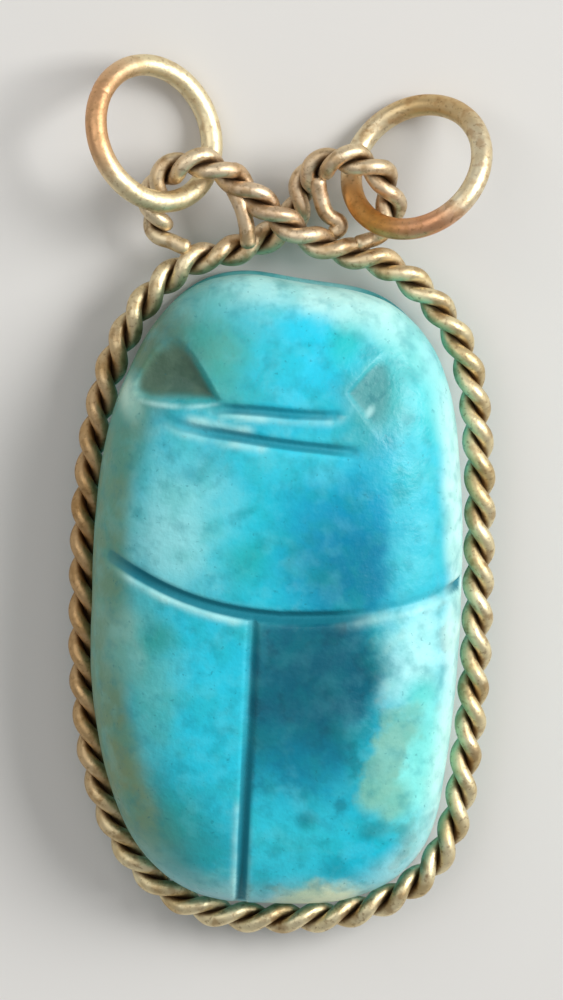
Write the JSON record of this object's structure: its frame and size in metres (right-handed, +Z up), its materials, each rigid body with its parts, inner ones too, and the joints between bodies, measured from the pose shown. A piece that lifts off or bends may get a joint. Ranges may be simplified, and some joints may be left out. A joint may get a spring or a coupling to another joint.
{
  "type": "scarab amulet",
  "caption": "Domed oval scarab in turquoise glaze, held round its side by a frame of twisted brass wire with a jump ring in each eyelet at the head.",
  "frame": {"origin": "on the surface that the amulet lies on, under the middle of its whole box", "axes": "+Z up through the scarab's back, +Y along its length towards the head and the eyelets"},
  "size_m": [0.0316, 0.0658, 0.0127],
  "materials": {
    "turquoise_glaze": "hand-carved and mottled turquoise glaze, satin to glossy, paler where it is worn thin on the edges",
    "twisted_brass_wire": "two strands twisted together, bright on the crowns and tarnished brown in the hollows",
    "round_brass_wire": "smooth drawn wire, softly polished and lightly tarnished"
  },
  "bodies": {
    "root": {"scarab": "turquoise_glaze", "twisted_wire_frame": "twisted_brass_wire", "ring_left": "round_brass_wire", "ring_right": "round_brass_wire"}
  },
  "joints": []
}
